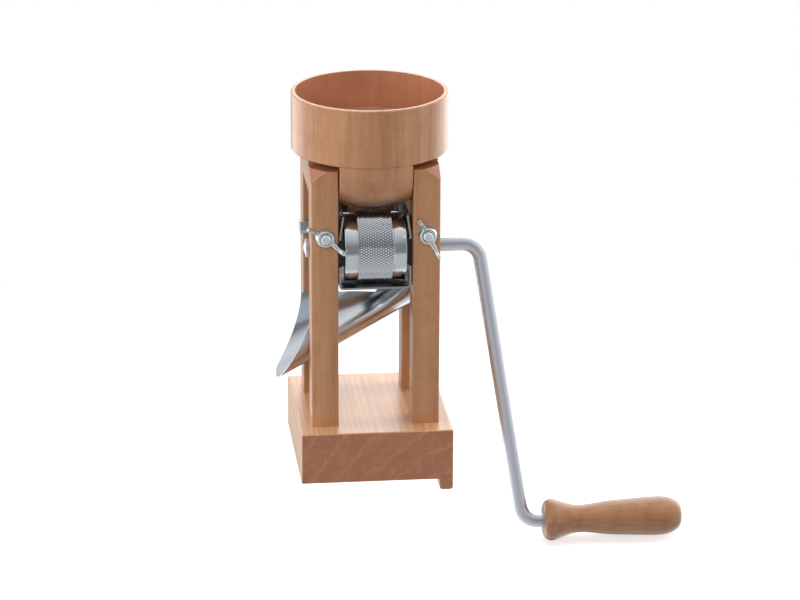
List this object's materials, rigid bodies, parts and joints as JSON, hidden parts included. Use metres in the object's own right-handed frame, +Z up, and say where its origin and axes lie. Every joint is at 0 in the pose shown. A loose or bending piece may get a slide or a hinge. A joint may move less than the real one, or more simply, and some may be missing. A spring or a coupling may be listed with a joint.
{
  "type": "grain flaker",
  "caption": "Hand-cranked grain flaker: round wooden hopper on square posts over knurled rollers, wing nuts for the gap, a sheet chute and a wooden base.",
  "frame": {"origin": "where the hopper's axis meets the table plane under the base block", "axes": "+Z up, -Y to the front with the wing nuts, +X to the side with the crank"},
  "size_m": [0.3433, 0.1438, 0.3911],
  "materials": {
    "beech": "satin",
    "stainless_sheet": "satin",
    "roller_steel": "polished",
    "bar_steel": "satin",
    "zinc_steel": "satin",
    "black_plastic": "matte"
  },
  "bodies": {
    "stand": {"base_block": "beech", "base_screws": "zinc_steel", "post_front_left": "beech", "post_front_right": "beech", "post_rear_left": "beech", "post_rear_right": "beech", "side_rail_left": "beech", "side_rail_right": "beech", "rail_dowels": "beech", "hopper": "beech", "chute": "stainless_sheet", "chute_screws": "zinc_steel", "bearing_block_left": "black_plastic", "bearing_block_right": "black_plastic", "block_screws": "zinc_steel", "washer_left": "zinc_steel", "washer_right": "zinc_steel"},
    "crank": {"crank_rod": "bar_steel", "front_roller": "roller_steel", "axle_cap": "bar_steel"},
    "handle": {"grip": "beech", "grip_pin": "zinc_steel"},
    "carriage": {"yoke": "stainless_sheet", "rear_bush_left": "black_plastic", "rear_bush_right": "black_plastic", "draw_bolt_left": "zinc_steel", "draw_bolt_right": "zinc_steel"},
    "rear_roll": {"rear_roller": "roller_steel", "rear_axle": "bar_steel"},
    "left_nut": {"wing_nut_left": "zinc_steel"},
    "right_nut": {"wing_nut_right": "zinc_steel"}
  },
  "joints": [
    {"name": "crank_turn", "type": "hinge", "parent": "stand", "child": "crank", "pos_m": [0, -0.0282, 0.191], "axis": [1, 0, 0], "continuous": true},
    {"name": "grip_spin", "type": "hinge", "parent": "crank", "child": "handle", "pos_m": [0.2, -0.0282, -0.058], "axis": [1, 0, 0], "continuous": true},
    {"name": "carriage_slide", "type": "slide", "parent": "stand", "child": "carriage", "axis": [0, 1, 0], "range_m": [-0.0003, 0.0016]},
    {"name": "rear_roller_turn", "type": "hinge", "parent": "carriage", "child": "rear_roll", "pos_m": [0, 0.0282, 0.191], "axis": [1, 0, 0], "continuous": true},
    {"name": "left_nut_turn", "type": "hinge", "parent": "stand", "child": "left_nut", "pos_m": [-0.0417, -0.056, 0.2082], "axis": [0, -1, 0], "range_deg": [-87.4, 461.8]},
    {"name": "right_nut_turn", "type": "hinge", "parent": "stand", "child": "right_nut", "pos_m": [0.0417, -0.056, 0.2082], "axis": [0, -1, 0], "range_deg": [-87.4, 461.8]}
  ],
  "couplings": [
    {"joint": "rear_roller_turn", "follows": "crank_turn", "ratio": -1},
    {"joint": "left_nut_turn", "follows": "carriage_slide", "rad_per_m": 5026.5},
    {"joint": "right_nut_turn", "follows": "carriage_slide", "rad_per_m": 5026.5}
  ]
}
